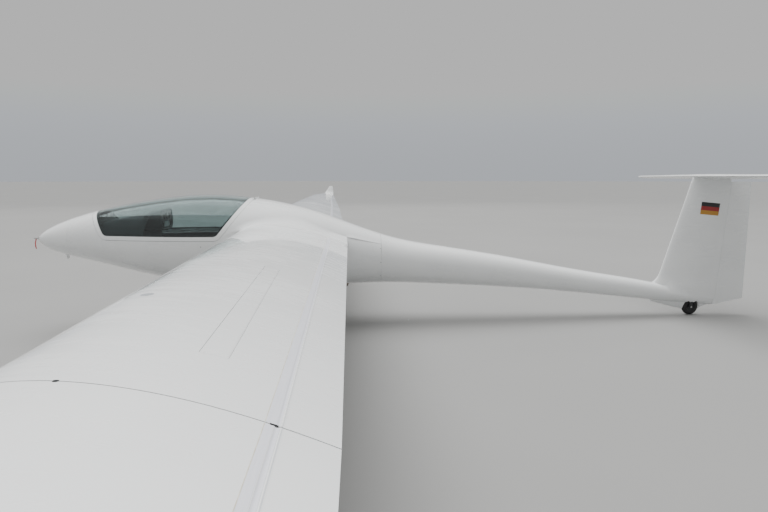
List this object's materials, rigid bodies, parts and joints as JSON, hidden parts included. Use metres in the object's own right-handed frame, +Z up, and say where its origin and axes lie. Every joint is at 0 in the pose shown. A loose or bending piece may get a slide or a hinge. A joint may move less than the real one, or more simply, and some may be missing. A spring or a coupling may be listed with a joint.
{
  "type": "two-seat touring motor glider",
  "caption": "Side-by-side touring sailplane with a long tapered wing, winglets, hinged canopy, T-tail, fixed-down main gear and steerable tail wheel.",
  "frame": {"origin": "on the ground, under the middle of the bounding box", "axes": "+X towards the tail, +Y to starboard, +Z up"},
  "size_m": [8.494, 24.9842, 1.7478],
  "materials": {
    "white_gelcoat": "glossy white gelcoat over glass and carbon fibre",
    "canopy_glass": "clear polished acrylic",
    "dark_trim": "matt dark grey lining",
    "seat_fabric": "dark woven seat cover",
    "steel": "painted or bare steel tube",
    "alloy": "satin aluminium",
    "engine_metal": "plain engine castings",
    "tyre": "black tyre rubber",
    "ribbon": "red woven ribbon"
  },
  "bodies": {
    "airframe": {"nose_cone": "white_gelcoat", "fuselage_shell": "white_gelcoat", "rear_bulkhead": "dark_trim", "cockpit_floor": "dark_trim", "seat_left": "seat_fabric", "seat_right": "seat_fabric", "centre_console": "dark_trim", "instrument_pod": "dark_trim", "control_stick_left": "dark_trim", "control_stick_right": "dark_trim", "rudder_pedals_left": "steel", "rudder_pedals_right": "steel", "gear_frame": "steel", "engine_block": "engine_metal", "wing_inner_left": "white_gelcoat", "wing_inner_right": "white_gelcoat", "wing_outer_left": "white_gelcoat", "wing_outer_right": "white_gelcoat", "winglet_left": "white_gelcoat", "winglet_right": "white_gelcoat", "tail_boom_and_fin": "white_gelcoat", "tail_skeg_front": "white_gelcoat", "tail_skeg_rear": "white_gelcoat", "stabilizer": "white_gelcoat", "gear_leg_left": "steel", "gear_leg_right": "steel", "gear_door_left": "white_gelcoat", "gear_door_right": "white_gelcoat", "pitot_tube": "steel", "pitot_ribbon": "ribbon", "belly_antenna": "white_gelcoat", "exhaust_stub": "steel"},
    "canopy": {"canopy_frame": "white_gelcoat", "canopy_glass": "canopy_glass"},
    "flap_right": {"flap_right": "white_gelcoat"},
    "flap_left": {"flap_left": "white_gelcoat"},
    "aileron_right": {"aileron_right": "white_gelcoat"},
    "aileron_left": {"aileron_left": "white_gelcoat"},
    "airbrake_cap_right": {"airbrake_cap_right": "white_gelcoat"},
    "airbrake_cap_left": {"airbrake_cap_left": "white_gelcoat"},
    "airbrake_blade_right": {"airbrake_blade_right": "alloy"},
    "airbrake_blade_left": {"airbrake_blade_left": "alloy"},
    "rudder": {"rudder": "white_gelcoat"},
    "elevator": {"elevator_strip": "white_gelcoat", "elevator_right": "white_gelcoat", "elevator_left": "white_gelcoat"},
    "main_wheel_right": {"main_tyre_right": "tyre", "main_rim_right": "alloy"},
    "main_wheel_left": {"main_tyre_left": "tyre", "main_rim_left": "alloy"},
    "tail_steering": {"tail_fork": "steel"},
    "tail_wheel": {"tail_tyre": "tyre", "tail_rim": "alloy"}
  },
  "joints": [
    {"name": "canopy_hinge", "type": "hinge", "parent": "airframe", "child": "canopy", "pos_m": [-1.766, 0, 1.475], "axis": [0, 1, 0], "range_deg": [0, 45]},
    {"name": "flap_right_hinge", "type": "hinge", "parent": "airframe", "child": "flap_right", "pos_m": [-0.91406, 0.606, 1.02939], "axis": [-0.0101, 0.9999, 0.0133], "range_deg": [-10, 16]},
    {"name": "flap_left_hinge", "type": "hinge", "parent": "airframe", "child": "flap_left", "pos_m": [-0.96076, -5.216, 1.09065], "axis": [0.0101, 0.9999, -0.0133], "range_deg": [-10, 16]},
    {"name": "aileron_right_hinge", "type": "hinge", "parent": "airframe", "child": "aileron_right", "pos_m": [-0.96148, 5.264, 1.09123], "axis": [-0.02, 0.9997, 0.0111], "range_deg": [-20, 20]},
    {"name": "aileron_left_hinge", "type": "hinge", "parent": "airframe", "child": "aileron_left", "pos_m": [-1.094, -11.9, 1.16498], "axis": [0.02, 0.9997, -0.0111], "range_deg": [-20, 20]},
    {"name": "airbrake_cap_right_slide", "type": "slide", "parent": "airframe", "child": "airbrake_cap_right", "axis": [0, 0, 1], "range_m": [0, 0.09]},
    {"name": "airbrake_cap_left_slide", "type": "slide", "parent": "airframe", "child": "airbrake_cap_left", "axis": [0, 0, 1], "range_m": [0, 0.09]},
    {"name": "airbrake_blade_right_slide", "type": "slide", "parent": "airframe", "child": "airbrake_blade_right", "axis": [0, 0, 1], "range_m": [0, 0.045]},
    {"name": "airbrake_blade_left_slide", "type": "slide", "parent": "airframe", "child": "airbrake_blade_left", "axis": [0, 0, 1], "range_m": [0, 0.045]},
    {"name": "rudder_hinge", "type": "hinge", "parent": "airframe", "child": "rudder", "pos_m": [3.853, 0, 0.12], "axis": [0.0734, 0, 0.9973], "range_deg": [-30, 30]},
    {"name": "elevator_hinge", "type": "hinge", "parent": "airframe", "child": "elevator", "pos_m": [3.873, 0, 1.708], "axis": [0, 1, 0], "range_deg": [-25, 20]},
    {"name": "main_wheel_right_axle", "type": "hinge", "parent": "airframe", "child": "main_wheel_right", "pos_m": [-1.707, 0.575, 0.18], "axis": [0, 1, 0], "continuous": true},
    {"name": "main_wheel_left_axle", "type": "hinge", "parent": "airframe", "child": "main_wheel_left", "pos_m": [-1.707, -0.575, 0.18], "axis": [0, 1, 0], "continuous": true},
    {"name": "tail_steering_post", "type": "hinge", "parent": "airframe", "child": "tail_steering", "pos_m": [3.556, 0, 0.23], "axis": [0, 0, 1], "range_deg": [-24, 24]},
    {"name": "tail_wheel_axle", "type": "hinge", "parent": "tail_steering", "child": "tail_wheel", "pos_m": [3.556, 0, 0.1], "axis": [0, 1, 0], "continuous": true}
  ],
  "couplings": [
    {"joint": "flap_left_hinge", "follows": "flap_right_hinge", "ratio": 1},
    {"joint": "aileron_left_hinge", "follows": "aileron_right_hinge", "ratio": -1},
    {"joint": "airbrake_cap_left_slide", "follows": "airbrake_cap_right_slide", "ratio": 1},
    {"joint": "airbrake_blade_right_slide", "follows": "airbrake_cap_right_slide", "ratio": 0.5},
    {"joint": "airbrake_blade_left_slide", "follows": "airbrake_cap_right_slide", "ratio": 0.5},
    {"joint": "tail_steering_post", "follows": "rudder_hinge", "ratio": 0.8}
  ]
}
